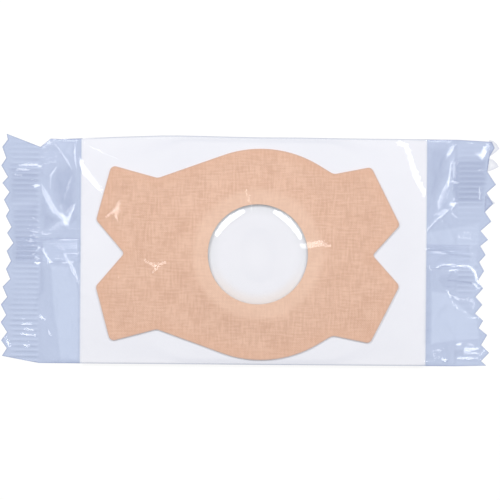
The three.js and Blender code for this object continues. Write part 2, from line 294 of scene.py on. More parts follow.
@dataclass(frozen=True)
class PlasterFinish:
    """Skin-tone woven cotton, matt, mottled and a little deeper in tone along its cut edge."""

    thread: tuple = (0.85, 0.553, 0.395, 1.0)
    shade: tuple = (0.60, 0.332, 0.212, 1.0)
    margin: tuple = (0.74, 0.43, 0.28, 1.0)
    cut: tuple = (0.62, 0.40, 0.30, 1.0)
    # Painted light: the lighter colour of the fabric's ring over the window's flange.
    lifted: tuple = (0.90, 0.62, 0.455, 1.0)
    pitch: float = 0.75 * MM
    roughness: float = 0.9
    cloud_share: float = 0.42
    streak_share: float = 0.36
    weave_share: float = 0.1
    grain_share: float = 0.14
    flange_light_share: float = 0.42

    def build(self) -> bpy.types.Material:
        """Returns: the finished material."""
        material, n, out = new_material("woven_plaster_finish")
        place = n.place()
        weave = Texture.use(n, Texture.weave(), Place=place, Pitch=self.pitch, Slub=0.35)
        mottle = Texture.use(n, Texture.mottle(), Place=place, Size=110.0, Contrast=1.5)
        grain = mottle["Grain"]
        streak = n.ramp(weave["Thread"], 0.4, 0.6, 0.0, 1.0)
        fine = n.ramp(grain, 0.3, 0.7, 0.0, 1.0)
        tone = n.math("MULTIPLY", mottle["Mottle"], self.cloud_share)
        shares = (self.streak_share, self.weave_share, self.grain_share)
        for value, share in zip((streak, weave["Height"], fine), shares):
            tone = n.math("ADD", tone, n.math("MULTIPLY", value, share))
        colour = n.blend(tone, self.shade, self.thread)
        # Painted light: over the flange the fabric is blended towards the lighter colour.
        lift = n.math("MULTIPLY", n.attribute("over_flange"), self.flange_light_share)
        colour = n.blend(lift, colour, self.lifted)
        inset = n.attribute("edge_distance")
        colour = n.blend(n.ramp(inset, 0.4, 5.0, 0.4, 0.0), colour, self.margin)
        colour = n.blend(n.ramp(inset, 0.1, 0.55, 0.7, 0.0), colour, self.cut)
        height = n.math("ADD", weave["Height"], n.math("MULTIPLY", grain, 0.5))
        cloth = n.add(
            "ShaderNodeBsdfPrincipled",
            {
                "Base Color": colour,
                "Roughness": self.roughness,
                "Specular IOR Level": 0.2,
                "Sheen Weight": 0.1,
                "Sheen Roughness": 0.5,
                "Normal": n.bump(0.35, 0.12 * MM, height),
            },
        )
        n.tree.links.new(cloth.outputs[0], out.inputs[0])
        return material


@dataclass(frozen=True)
class PaperFinish:
    """White siliconised paper, smooth, with a faint fibre cloud."""

    white: tuple = (0.852, 0.848, 0.875, 1.0)
    shade: tuple = (0.81, 0.807, 0.835, 1.0)
    roughness: float = 0.55

    def build(self) -> bpy.types.Material:
        """Returns: the finished material."""
        material, n, out = new_material("liner_paper_finish")
        place = n.place()
        mottle = Texture.use(n, Texture.mottle(), Place=place, Size=45.0, Contrast=1.6)
        colour = n.blend(mottle["Mottle"], self.shade, self.white)
        bump = n.bump(0.08, 0.05 * MM, mottle["Grain"])
        rough = n.ramp(mottle["Grain"], 0.2, 0.8, self.roughness - 0.05, self.roughness + 0.08)
        paper = n.add(
            "ShaderNodeBsdfPrincipled",
            {"Base Color": colour, "Roughness": rough, "Specular IOR Level": 0.2, "Normal": bump},
        )
        n.tree.links.new(paper.outputs[0], out.inputs[0])
        return material


# A crease faces half-way between the left lamp and the camera. Their directions add up to this at the
# part's middle, and turn by so much for each metre away from it.
TO_LAMP_AND_EYE = (-0.599, 0.665, 1.446)
TURN_OF_EYE = (-2.43, -2.43, 0.0)


@dataclass(frozen=True)
class ClearFinish:
    """A clear plastic: most light passes straight on, a little is scattered, and the surface mirrors."""

    name: str
    passed: tuple
    passed_double: tuple
    haze: float
    haze_double: float
    haze_colour: tuple = (0.8, 0.85, 0.99, 1.0)
    edge_colour: tuple = (0.30, 0.35, 0.50, 1.0)
    head_on: float = 0.06
    edge_shade: float = 0.5
    cut_shade: float = 0.3
    gloss: float = 0.08
    ripple: float = 0.0
    ripple_size: float = 160.0
    facet_shade: float = 0.0
    painted_light_and_shade: float = 0.0
    plain_shade: float = 0.0
    glint_gain: float = 0.0
    lit: tuple = (0.97, 0.975, 0.985, 1.0)

    def build(self) -> bpy.types.Material:
        """Returns: the finished material."""
        material, n, out = new_material(self.name)
        double = n.attribute("double_ply")
        place = n.place()
        mottle = Texture.use(n, Texture.mottle(), Place=place, Size=self.ripple_size, Contrast=1.0)["Mottle"]
        normal = {}
        if self.ripple:
            slack = n.math("MULTIPLY", mottle, n.ramp(double, 0.0, 1.0, 0.12, 1.0))
            normal = {"Normal": n.bump(self.ripple, 0.4 * MM, slack)}
        facing = n.add("ShaderNodeLayerWeight", {"Blend": 0.5} | normal).outputs["Facing"]
        seen = n.add("ShaderNodeLightPath").outputs["Is Camera Ray"]
        tint = self.tint(n, n.math("MULTIPLY", mottle, double), facing, double, seen)
        see_through = n.add("ShaderNodeBsdfTransparent", {"Color": tint})
        haze = n.add("ShaderNodeBsdfPrincipled", {"Base Color": self.haze_colour, "Roughness": 0.5} | normal)
        body = n.layered(n.ramp(double, 0.0, 1.0, self.haze, self.haze_double), see_through, haze)
        glint = n.attribute("glint")
        creased = n.ramp(glint, 0.03, 0.15, 0.0, 1.0)
        plain = normal["Normal"] if self.ripple else n.add("ShaderNodeNewGeometry").outputs["Normal"]
        facet = self.facet(n, place, creased, plain)
        shine = n.add("ShaderNodeBsdfGlossy", {"Roughness": self.gloss, "Normal": facet})
        surface = n.layered(self.mirrored(n, facing, glint, creased), body, shine)
        clear = n.add("ShaderNodeBsdfTransparent", {"Color": self.lit})
        both = n.layered(seen, clear, surface)
        n.tree.links.new(both.outputs[0], out.inputs[0])
        return material

    def mirrored(self, n: Nodes, facing: Socket, glint: Socket, creased: Socket) -> Socket:
        """How much the surface mirrors.

        Args:
            n: The material's nodes.
            facing: 0 where the surface faces the eye and 1 where it is seen edge-on.
            glint: How strong the crease is.
            creased: 1 in a crease and 0 on plain film.

        Returns:
            The mirror's share of the surface.
        """
        mirror = n.math("MULTIPLY_ADD", n.math("POWER", facing, 5.0), 1.0 - self.head_on)
        mirror.node.inputs[2].default_value = self.head_on
        weaker = n.math("SUBTRACT", n.math("MULTIPLY", glint, self.glint_gain), 1.0)
        return n.math("MULTIPLY", mirror, n.math("ADD", 1.0, n.math("MULTIPLY", creased, weaker)))

    def tint(self, n: Nodes, cloud: Socket, facing: Socket, double: Socket, seen: Socket) -> Socket:
        """The colour that the view takes on behind the plastic.

        Args:
            n: The material's nodes.
            cloud: Painted shade of the soft facets of slack film.
            facing: 0 where the surface faces the eye and 1 where it is seen edge-on.
            double: 1 where two plies lie together; on the window, its painted grey rim shade.
            seen: 1 for a ray from the camera.

        Returns:
            The tint, deeper at edges and cuts, with painted shade on facets, folds and ribs, and on the
            window a painted reflection of the fabric.
        """
        passed = n.blend(double, self.passed, self.passed_double)
        # Painted shade on the facets of slack film.
        cloud = n.math("MULTIPLY", cloud, self.facet_shade)
        lean = n.math("MULTIPLY", n.math("POWER", facing, 0.7), self.edge_shade)
        cut = n.math("MULTIPLY", n.attribute("cut_edge"), self.cut_shade)
        # The tone attribute carries painted shade on the film and the painted fabric reflection on the
        # window.
        tone = n.math("MULTIPLY", n.attribute("tone"), self.painted_light_and_shade)
        tone = n.math("ADD", tone, n.math("MULTIPLY", double, self.plain_shade))
        shade = n.math("MULTIPLY", n.math("ADD", n.math("ADD", cloud, lean), n.math("ADD", cut, tone)), seen)
        return n.blend(n.math("MINIMUM", shade, 1.0), passed, self.edge_colour)

    def facet(self, n: Nodes, place: Socket, creased: Socket, plain: Socket) -> Socket:
        """The mirror's normal.

        Args:
            n: The material's nodes.
            place: The point's coordinates.
            creased: 1 in a crease and 0 on plain film.
            plain: The normal of plain film.

        Returns:
            The plain normal, or in a crease the one half-way between the left lamp and the camera.
        """
        leaned = n.add(
            "ShaderNodeVectorMath", {0: place, 1: TURN_OF_EYE, 2: TO_LAMP_AND_EYE}, operation="MULTIPLY_ADD"
        ).outputs[0]
        turned = n.add("ShaderNodeMix", {0: creased, 4: plain, 5: leaned}, data_type="VECTOR").outputs[1]
        return n.add("ShaderNodeVectorMath", {0: turned}, operation="NORMALIZE").outputs[0]


def new_piece(
    name: str, bm: Mesh, material: bpy.types.Material, smooth: bool = True
) -> bpy.types.Object:
    """Turns a bmesh in millimetres into a piece in the scene, in metres.

    Args:
        name: The piece's name.
        bm: Its mesh, which is freed.
        material: Its finish.
        smooth: Whether its faces are shaded smooth.

    Returns:
        The new object.
    """
    bmesh.ops.scale(bm, vec=(MM, MM, MM), verts=bm.verts)
    mesh = bpy.data.meshes.new(name)
    for face in bm.faces:
        face.smooth = smooth
    for edge in bm.edges:
        edge.smooth = edge.calc_face_angle(math.pi) < SHARP
    bm.to_mesh(mesh)
    bm.free()
    mesh.materials.append(material)
    piece = bpy.data.objects.new(name, mesh)
    bpy.context.collection.objects.link(piece)
    LOG.info("%s: %d faces", name, len(mesh.polygons))
    return piece


@dataclass(frozen=True)
class Streak:
    """A narrow crease in the film, in the part's own plan, in millimetres.

    Each point is x, y and the crease's width there.
    """

    points: tuple
    strength: float
    soft: float = 0.26
    box: tuple = field(init=False)

    def __post_init__(self) -> None:
        """Notes the box that the crease can reach."""
        reach = max(width for _, _, width in self.points) / 2 + self.soft
        xs = [x for x, _, _ in self.points]
        ys = [y for _, y, _ in self.points]
        box = (min(xs) - reach, max(xs) + reach, min(ys) - reach, max(ys) + reach)
        object.__setattr__(self, "box", box)

    def cover(self, x: float, y: float) -> float:
        """How much of the crease lies at a point.

        Args:
            x: The point's x.
            y: The point's y.

        Returns:
            A value from 0 to the crease's strength.
        """
        left, right, bottom, top = self.box
        if not (left < x < right and bottom < y < top):
            return 0.0
        most = 0.0
        for start, stop in zip(self.points, self.points[1:]):
            share, away = nearest(x, y, start[:2], stop[:2])
            most = max(most, (mix(start[2], stop[2], share) / 2 + self.soft - away) / (2 * self.soft))
        return self.strength * min(max(most, 0.0), 1.0)


@dataclass(frozen=True)
class Patch:
    """A facet of crumpled film with painted shade, turned to painted light where its tone is below 0."""

    corners: tuple
    tone: float
    soft: float

    def cover(self, x: float, y: float) -> float:
        """The facet's tone at a point, which fades towards its rim.

        Args:
            x: The point's x.
            y: The point's y.

        Returns:
            The tone there, 0 outside the facet.
        """
        inside, rim = False, math.inf
        for start, stop in zip(self.corners, self.corners[1:] + self.corners[:1]):
            (ax, ay), (bx, by) = start, stop
            if (ay > y) != (by > y) and x < ax + (bx - ax) * (y - ay) / (by - ay):
                inside = not inside
            rim = min(rim, nearest(x, y, start, stop)[1])
        return self.tone * min(rim / self.soft, 1.0) if inside else 0.0


def streaks(*rows: tuple) -> tuple[Streak, ...]:
    """Creases, each given by its strength and its points. A point with no width has a hair's."""
    return tuple(
        Streak(tuple((*point, HAIR)[:3] for point in points), strength) for strength, *points in rows
    )


def patches(*rows: tuple) -> tuple[Patch, ...]:
    """Facets of painted shade, each given by its tone, how softly its rim fades, and its corners."""
    return tuple(Patch(tuple(corners), tone, soft) for tone, soft, *corners in rows)


LAMP_BEARINGS = (132, 45)

# Creases that catch the lamps, in the part's plan in millimetres: strength, then x, y and width.
LEFT_GLINTS = streaks(
    (1, (-80.2, 28.7), (-77.4, 28.9, 0.6), (-74.6, 28.9, 0.6), (-73.2, 28.4, 0.5), (-72.2, 27.6)),
    (1, (-81.3, 27), (-78.8, 27.2, 0.6), (-77.1, 27.1)),
    (0.6, (-82, 25.4), (-79.5, 25.2)),
    (0.5, (-76.3, 23.4), (-73.9, 23.5)),
    (0.9, (-75.6, 21.5, 0.5), (-74.6, 21.5, 0.9), (-73.5, 21.6, 0.6)),
    (0.4, (-72.7, 22, 0.2), (-71.8, 20, 1.4), (-69.6, 15.5, 2.1), (-68.2, 13.1, 2.3), (-66.1, 11, 1),
     (-64.7, 9.9, 1.4), (-64, 8.2, 1.2)),
    (0.75, (-65.4, 11.7, 1), (-64.3, 9.9, 1.2), (-64, 7.8, 0.9)),
    (0.65, (-70, 18.6), (-68.6, 14.8, 0.5), (-67.2, 12.7)),
    (0.45, (-60.9, 15.2), (-61.9, 12.8, 1), (-62.9, 10.3, 1.6), (-63.3, 8.2, 1), (-62.9, 7.2)),
    (0.8, (-60.9, 14.9), (-61.9, 12.1, 0.6), (-63.3, 9.6, 0.7)),
    (0.5, (-61.2, 15.2, 0.2), (-64, 12, 0.4)),
    (0.5, (-67.3, 28.1), (-68.3, 26.7, 0.7), (-69.2, 25.5, 0.6), (-69.3, 23.6), (-69.3, 20.1, 0.2)),
    (0.5, (-69.1, 36.2, 0.2), (-68.4, 33.7), (-67, 30.9)),
    (0.65, (-68.1, 36.5, 0.2), (-65.9, 33.4, 0.4), (-64.2, 31.3, 0.5), (-62.4, 27.8)),
    (0.6, (-60.9, 35.9), (-61, 33.4, 0.6), (-60.7, 29.9, 0.4), (-60.4, 27.8, 0.2)),
    (0.45, (-62.4, 24.3, 0.6), (-63, 21.5, 0.4), (-64.1, 18.7), (-64.7, 16.6, 0.2)),
    (0.4, (-65.8, 14.5, 0.6), (-65.8, 13.1)),
    (0.6, (-71.5, 35.1), (-70.2, 36.8, 0.6), (-69.5, 37.4)),
    (0.22, (-69.6, 5.7, 0.7), (-67.1, 7.5, 1.8), (-64.7, 8.9, 2.4)),
    (0.5, (-72.4, 5, 0.5), (-71, 4.5, 0.8), (-69.9, 4.6, 0.4)),
    (0.6, (-72, -0.3, 0.5), (-71.3, -1.7, 0.8), (-70.2, -3.8, 0.7), (-69.5, -5, 1.2), (-68.6, -5.1, 0.7)),
    (0.6, (-74.4, -3.6, 0.7), (-73.3, -3.8)),
    (0.95, (-74.5, -5.4, 0.5), (-73.7, -5.7, 0.7), (-72.8, -5.5, 0.4)),
    (0.6, (-64.6, -2.2), (-59, -2.1)),
    (0.35, (-66.7, -0.7), (-59, -0.4)),
    (0.4, (-67.7, -2.4), (-66, -2.5)),
    (0.5, (-67.4, -4), (-64.6, -4)),
    (0.6, (-64.9, -5.4), (-62.1, -5.2, 0.7), (-61.1, -5.1)),
    (0.5, (-62.1, -5.1, 0.7), (-61.1, -7.9, 1.4), (-59.6, -11, 0.9), (-59.3, -12.4)),
    (0.3, (-64.2, -2.7, 1), (-63.2, -4.4, 1.4), (-62.1, -6.8, 1), (-61, -8.9)),
    (0.7, (-73.2, -23.9, 0.5), (-72.3, -24.4, 1), (-71.2, -25.1, 0.5)),
    (0.45, (-70, -28.8), (-69.3, -30.2, 0.7), (-68.4, -31)),
    (0.7, (-79.1, -26.9), (-77.4, -26.8, 0.6), (-76, -26.9)),
    (0.7, (-78.4, -28.6, 0.4), (-76.3, -28.7, 0.4), (-75.4, -29, 0.7)),
    (0.8, (-79.1, -30.3), (-77.3, -30.6, 0.5), (-74.2, -30.9)),
    (0.8, (-78.3, -34.1, 0.5), (-77.3, -34.6, 0.6), (-76.4, -34.3)),
    (0.3, (-78.4, -32.5), (-76.3, -32.9)),
    (0.8, (-84.8, -31.2, 0.2), (-84, -33.3, 0.6), (-83.2, -34.7, 0.4)),
    (0.5, (-77.2, 2.1), (-75.8, 1.9, 0.6)),
    (0.7, (-73.7, -0.1, 0.5), (-73, -0.2, 0.5)),
    (0.5, (-75.9, 5.5), (-73.8, 5.3, 0.7)),
    (0.35, (-76.2, 4.2, 0.7), (-74.1, 3.7, 0.7)),
    (0.4, (-78.8, -25, 0.4), (-77.7, -24.8)),
    (0.4, (-75.5, 10.2, 0.4), (-74.8, 10.3)),
    (0.5, (-74.1, 9.2, 0.4), (-73.4, 9.3)),
    (0.35, (-76.6, 7.7, 0.4), (-75.7, 7.9)),
    (0.3, (-77.8, 6.3, 0.4), (-77.1, 6.4)),
    (0.5, (-75.9, 6, 0.4), (-75.2, 6.1)),
    (0.5, (-73.9, 6.9, 0.4), (-73.2, 7)),
    (0.35, (-76.5, 4.1, 0.4), (-75.5, 4.2)),
    (0.35, (-78.1, 2.5, 0.4), (-77.2, 2.6)),
    (0.4, (-76.2, 2.6, 0.4), (-75.5, 2.7)),
    (0.5, (-74.6, 3.3, 0.4), (-73.7, 3.4)),
    (0.4, (-75.8, 0.8, 0.4), (-75.1, 0.9)),
    (0.5, (-74.2, -1, 0.4), (-73.5, -0.9)),
    (0.5, (-75.4, -2.4, 0.4), (-74.7, -2.3)),
    (0.6, (-73.9, -4.3, 0.4), (-73.2, -4.2)),
    (0.4, (-66.8, 6.2), (-59.4, 6.5)),
    (0.35, (-72, 4.6), (-66.1, 4.9)),
    (0.6, (-66, 2.6, 0.4), (-59.7, 2.6)),
    (0.4, (-69.5, 1.2), (-59.7, 1.2)),
    (0.5, (-67.4, 0.2), (-59.4, 0.3)),
    (0.35, (-68.9, 37.3, 0.5), (-60.4, 37.3, 0.7)),
    (0.5, (-72.2, 34.8, 0.5), (-69.5, 36.7, 0.6)),
    (0.5, (-72.2, 29.1), (-69.7, 29.7, 0.5), (-67.3, 30.1)),
    (0.4, (-71.9, 32.6), (-69.8, 34, 0.4)),
    (0.4, (-73.3, 31), (-71.2, 31.8)),
    (0.35, (-71.2, 30.9), (-69.1, 31.6)),
)

RIGHT_GLINTS = streaks(
    (0.5, (71.2, 36.9, 0.5), (70.6, 35.2, 1.8), (69.7, 33.7, 1.4), (69, 32.3)),
    (0.95, (82.3, 36.3, 0.7), (82.1, 34.9, 1.6), (81.8, 33.5, 1.6), (81.4, 32.3, 0.7)),
    (0.5, (72.3, 36.9, 0.7), (72.7, 36.6, 0.5)),
    (0.5, (76.1, 37.6), (78.2, 37.5)),
    (0.4, (83.5, 37.4, 0.7), (83.9, 34.9, 0.7)),
    (0.75, (70.9, 31.3), (70.6, 29.9, 0.6), (70.3, 27.4, 0.6), (69.9, 24.6, 0.7), (69.6, 22.5, 0.8)),
    (0.6, (71.3, 30.6, 0.5), (72.7, 30.3, 0.7)),
    (0.7, (71, 28.9, 0.4), (72, 28.3)),
    (0.7, (71.3, 27.5), (71.9, 25.7, 0.4)),
    (0.7, (71, 24.3, 0.5), (71.7, 23.8, 0.7), (72.8, 23.6)),
    (0.5, (71, 22.6), (71.4, 21.5)),
    (0.3, (69.9, 24.3), (69.3, 22.5, 1.2), (68.2, 20.4, 1.8), (67.2, 18, 1.4), (66.5, 15.9, 0.9),
     (66.2, 14.5)),
    (0.7, (69.6, 24.6), (67.9, 21.1, 0.5), (66.8, 18.7, 0.5), (66.2, 15.9, 0.6), (66.5, 14.5)),
    (0.4, (70, 21.1), (69.3, 18.7), (68.3, 16.6)),
    (0.8, (70, 16.6), (71.1, 15.9, 1.6), (72.1, 16.4, 1), (71.1, 14.7, 0.7)),
    (0.5, (72.1, 18.4), (70.7, 17)),
    (0.35, (63.7, 12), (65.1, 12.4, 0.7), (67.2, 13.1, 1.4), (69.3, 14.1, 1.4), (70, 14.8)),
    (0.7, (62, 6.7, 0.4), (63.8, 8.8, 0.5), (65.9, 11, 0.6), (67.6, 12, 0.6), (70, 14.1)),
    (0.5, (70.7, 13.8), (71.8, 12.2), (72.5, 11.7, 0.7)),
    (0.5, (68.3, 9.9), (67.4, 10.6)),
    (0.7, (80.8, 21.9), (80.7, 20.2, 0.5), (80.7, 18.1)),
    (0.8, (80.4, 28.4, 0.5), (80.6, 27.9)),
    (0.6, (75.3, 6.5, 0.4), (75.5, 6, 0.4)),
    (0.6, (76.5, 6.5, 0.4), (76.6, 6, 0.4)),
    (0.4, (77.4, 5.6), (77.6, 5.1)),
    (0.6, (73.4, 5.4, 0.4), (73.5, 4.5, 0.4)),
    (0.6, (74.8, 5.1, 0.4), (74.9, 4.4, 0.4)),
    (0.6, (76.1, 4.4, 0.5), (76.2, 4.2)),
    (0.6, (77.6, 4.4, 0.5), (77.8, 4.2)),
    (0.5, (61.4, 0.6), (63.5, 0.4)),
    (0.3, (63.8, -0.8, 0.9), (66.3, -0.9, 1), (68.8, -1.4, 0.5)),
    (0.3, (69.1, -0.2, 0.2), (74.7, -0.9), (79.2, -1.2, 0.2)),
    (1, (66, -6, 0.7), (67.4, -5.1), (70.2, -5, 0.5), (72.3, -5.3, 0.6), (76.8, -5.4, 0.4),
     (78.2, -6.1, 0.7), (79.3, -7.8, 0.8), (79.8, -9.9, 0.7), (80.4, -11.3, 0.5), (81.4, -12.2)),
    (0.6, (70.5, -6.9, 0.8), (73, -7, 0.8)),
    (0.4, (78.6, -4.4), (80, -4.7)),
    (0.9, (78.6, -11.3, 0.4), (80, -12.7, 0.6), (81.1, -13.2, 0.4)),
    (0.5, (62.8, -5.2), (63.5, -6.6, 0.5), (63.9, -7.6)),
    (0.9, (69.5, -13.9, 0.4), (70.1, -15.3, 0.6), (70.8, -16.5, 0.6)),
    (0.6, (71, -15.6, 0.5), (71.7, -15.9)),
    (0.8, (72.4, -16.3, 0.5), (73.4, -17, 0.6)),
    (0.7, (75, -16.4), (75.2, -17.3)),
    (0.8, (76.9, -16.3), (76.7, -17, 0.4)),
    (0.6, (71.3, -18), (72, -18.7), (73.1, -20, 0.7)),
    (0.7, (75.9, -21.3, 0.6), (75.7, -21.9)),
    (0.4, (77.3, -19), (78, -16.9, 0.5), (79, -19, 1), (78.7, -20.8)),
    (0.5, (76.3, -23.3), (78.4, -23.6), (80.8, -23.4)),
    (0.8, (72.8, -32.8, 0.6), (74.6, -32.8, 0.6)),
    (0.6, (77, -32.7, 0.5), (78.8, -33)),
    (0.65, (76.4, -34.8, 1.8), (79.2, -34.4, 1), (80.9, -34.1)),
    (0.8, (76, -35.9), (80.6, -36, 0.5)),
    (0.7, (73.6, -37.6, 0.7), (78.5, -37.6, 0.8)),
    (0.6, (81.3, -36.9), (82.7, -35.1, 0.5), (83.4, -34.4)),
    (0.7, (79.5, -37.2), (80.9, -38.1)),
    (0.5, (64.5, -35.2), (65.2, -36.6, 0.7), (65.5, -37.7)),
    (0.45, (64.8, -35.1), (67.3, -34.9, 0.7), (68, -34.5)),
    (0.7, (66.6, -37), (66.9, -37.7, 0.4)),
    (0.8, (68, -37.3), (68.3, -38.5, 0.9), (69.7, -38.4, 0.5)),
    (0.3, (61.7, -38.8, 0.5), (65.2, -38.7, 0.5)),
    (0.6, (79.3, 34, 0.5), (80.4, 33.5, 0.9), (80.7, 32.8, 0.5)),
    (0.4, (83.1, 37.4, 0.7), (84, 36, 0.9), (83.9, 34.9, 0.5)),
    (0.6, (81.6, 28.6, 0.4), (81.8, 27.9)),
    (0.3, (61.8, 38.2, 0.7), (70.2, 37.9, 0.9)),
    (0.6, (71.3, 32.4, 0.4), (71.8, 32)),
    (0.5, (72.7, 31.5, 0.4), (73.3, 31.1)),
    (0.6, (72, 30.4, 0.4), (72.6, 30.1)),
    (0.5, (71.5, 29.4, 0.4), (72, 29)),
    (0.6, (71.3, 28.2, 0.4), (71.9, 27.8)),
    (0.5, (72, 27.3, 0.4), (72.5, 26.9)),
    (0.6, (71.5, 25.9, 0.4), (72.1, 25.5)),
    (0.5, (72.2, 24.1, 0.4), (72.8, 23.8)),
)

MIDDLE_GLINTS = streaks(
    (0.9, (-59.1, 31.3), (-58.5, 28.9, 1.4), (-57.5, 26.8, 1.8), (-55.7, 24.7, 1.8), (-53.6, 22.3, 1.2),
     (-51.6, 19.8, 0.5)),
    (0.25, (-58.3, 36.9), (-55.8, 35.2, 0.5), (-51.9, 33.8, 0.7), (-46, 30.7)),
    (0.7, (52.3, 37.5, 1.4), (54.8, 36.4, 1.4), (55.9, 33.3, 1.2), (57, 29.4, 1.4), (58.7, 24.9, 1.8),
     (60.9, 20.4, 1.2), (61.6, 17.9)),
    (0.5, (-45.3, 16.4), (-45.7, 14.3, 1.2), (-46.3, 12.2, 1.6), (-46.5, 9.6, 0.5)),
    (0.45, (-46.2, 13.9, 1), (-48.3, 11.8, 1), (-50.3, 10.2, 0.4)),
    (0.4, (-45.1, -8.1), (-45.1, -9.5, 0.8), (-45.3, -10.9)),
    (0.42, (18, 2.2), (19, 1.1, 1.8), (20.8, 1.3, 2.3), (23.6, 1.9, 2.1), (25.7, 2.2, 1.8), (27.8, 1.2, 1),
     (28.5, 0.3)),
    (0.3, (-0.9, 20.6, 0.7), (-0.4, 18.5, 1), (0.5, 15.7, 0.7), (0.7, 12.9)),
    (0.32, (-36.2, -4, 0.7), (-34.8, -5.2, 1.2), (-33.1, -5.7, 1.2)),
    (0.4, (-33.1, -6.1, 1.2), (-31, -5.7, 1.2), (-28.9, -4.8, 0.5)),
    (0.36, (-31.7, -6.6, 1), (-32.7, -8, 0.9), (-33.4, -8.9, 0.4)),
)

# Painted shade along folds that look darker than the film round them.
PAINTED_DARK_FOLDS = streaks(
    (0.9, (61.4, 0.1, 0.4), (68.4, 0, 0.4), (71.2, -1.6, 0.4), (74.7, -1.7, 0.4), (77.5, -2.2, 0.4)),
    (0.8, (69.9, -10.5, 0.4), (74.8, -10.7, 0.4), (77.6, -11.3, 0.4), (81.4, -13.1, 0.4)),
    (0.3, (68.1, -12.5, 0.4), (71.3, -12.8, 0.4)),
)

# Facets of the crumpled ends with painted shade, paler where the tone is below 0: tone, how softly the rim
# fades, then the corners.
PAINTED_FACET_SHADES = patches(
    (0.6, 3, (-69.4, 26.4), (-67.3, 28.5), (-62.7, 28.5), (-60.3, 27.1), (-59.6, 23.6), (-59.4, 8.9),
     (-62.6, 7.5), (-63.3, 10.3), (-65.4, 12.4), (-67.2, 14.5), (-69.3, 20.1)),
    (0.5, 2, (-73.2, 20), (-71.1, 17.6), (-68.9, 12.4), (-65.4, 9.9), (-69.6, 6.1), (-72.4, 5.3),
     (-73.1, 11.3)),
    (0.6, 2, (-73, -6.2), (-70.9, -7.3), (-70.4, -15), (-72.9, -18.5), (-74.2, -22.7), (-75.3, -22),
     (-73.6, -13.2)),
    (0.5, 2, (-84.5, 30.4), (-73.2, 26.3), (-73.1, 16.5), (-84.3, 14.7)),
    (0.45, 2, (-83.6, 14.3), (-73.1, 16.2), (-73.7, -5.2), (-83.5, -6.3)),
    (-0.6, 0.9, (-69.5, -5.8), (-61.8, -6.5), (-58.9, -14.9), (-58.7, -39.4), (-65.7, -39.4),
     (-68.7, -18.4)),
    (-0.3, 0.9, (-68.1, 37.2), (-61.4, 37.3), (-61.4, 30.6), (-66.3, 34.1)),
    (-0.6, 0.9, (-72.3, 2.5), (-59, 3.3), (-59, -5.4), (-72.3, -5.2)),
    (0.8, 1.6, (70.9, 32.4), (83.5, 32.5), (83.6, 25.5), (82.3, 16), (72.1, 15.9), (70.3, 21.1)),
    (0.5, 2.5, (61.8, 36.5), (69.5, 36.5), (69.6, 29.9), (66.8, 21.1), (63.4, 14.1), (62, 12.3)),
    (-0.4, 0.9, (61.3, 6.4), (80.9, 10), (81, 2), (77.5, 0.2), (61.4, 1.5)),
    (-0.35, 0.9, (61.4, 0.8), (80.3, 0.2), (79.6, -7.5), (61.4, -6.9)),
    (0.3, 0.9, (67, -7.6), (79.7, -8.2), (79, -12.7), (68.8, -13.9), (65.7, -10.4)),
    (-0.6, 0.9, (63.6, -13.9), (69.2, -14.6), (80.5, -24.3), (81.2, -31.3), (70.7, -32), (63.7, -33.2)),
    (0.3, 0.9, (61.4, -4.1), (63.9, -4.1), (64.1, -33.2), (60.9, -33.2)),
    (0.4, 0.9, (71.8, -34.5), (75.7, -34.5), (76.4, -36.9), (71.8, -37.6)),
)

# Tips and roots of the teeth at each end, from the top down.
LEFT_CUT = (
    (-84.9, 39.6), (-84.5, 37.6), (-86.4, 35), (-85, 31.1), (-86.7, 28.5), (-84.4, 24.5), (-86.3, 22.4),
    (-83.8, 19.2), (-85.7, 16.5), (-83.8, 12.9), (-85, 10.8), (-83, 7), (-84.5, 4.9), (-82.3, 1.4),
    (-84.6, -1.4), (-83.1, -4.9), (-84.8, -7.7), (-83.3, -11.2), (-85.9, -13.9), (-84.3, -17.5),
    (-86.5, -20.1), (-84.6, -23.8), (-86.5, -26.3), (-84.2, -29.8), (-86.3, -32.6), (-84.3, -35.4),
    (-86, -38.1),
)

RIGHT_CUT = (
    (84.8, 38.1), (85.8, 35.9), (84.1, 33), (83.3, 27.6), (86.3, 23.1), (83.1, 20.2), (85.4, 16.5),
    (82.6, 13.5), (84.8, 10.2), (81.1, 6.9), (83.7, 3.8), (81, 1.6), (82.9, -1.5), (80.7, -4),
    (82.4, -7.1), (80.2, -10.6), (82.1, -13.2), (79.5, -16.2), (81.9, -18.9), (79.4, -22),
    (82.2, -24.5), (80.7, -27.1), (83.7, -29.5), (81.6, -33), (84.4, -35.7), (81.6, -38.6),
    (83.4, -40.2),
)

# Outlines of the bits of film that stand out past the right cut.
FRILLS = (
    ((83.8, 38.7), (85.2, 38.4), (86.6, 37.2), (87.4, 35.7), (86.1, 34.4), (83.9, 32.8)),
    ((83.4, 32.3), (85.3, 31.8), (86.7, 30.4), (87.2, 29.3), (85.3, 28.3), (83.2, 27.6)),
    ((82.6, 19.5), (84.3, 18.1), (86.1, 16.7), (84, 15.1), (82.3, 13.5)),
)

# How far the upper side fold bows out, along x.
UPPER_SIDE_BOW = (
    (-73, -0.5), (-66, -0.84), (-59, -0.49), (-52, -0.2), (-45, 0.14), (-38, 0.38), (-31, 0.66),
    (-24, 0.73), (-17, 0.63), (-10, 0.49), (-3, 0.38), (4, 0.28), (18, 0.33), (32, 0.17), (46, 0.12),
    (74, 0), (81, -0.17),
)


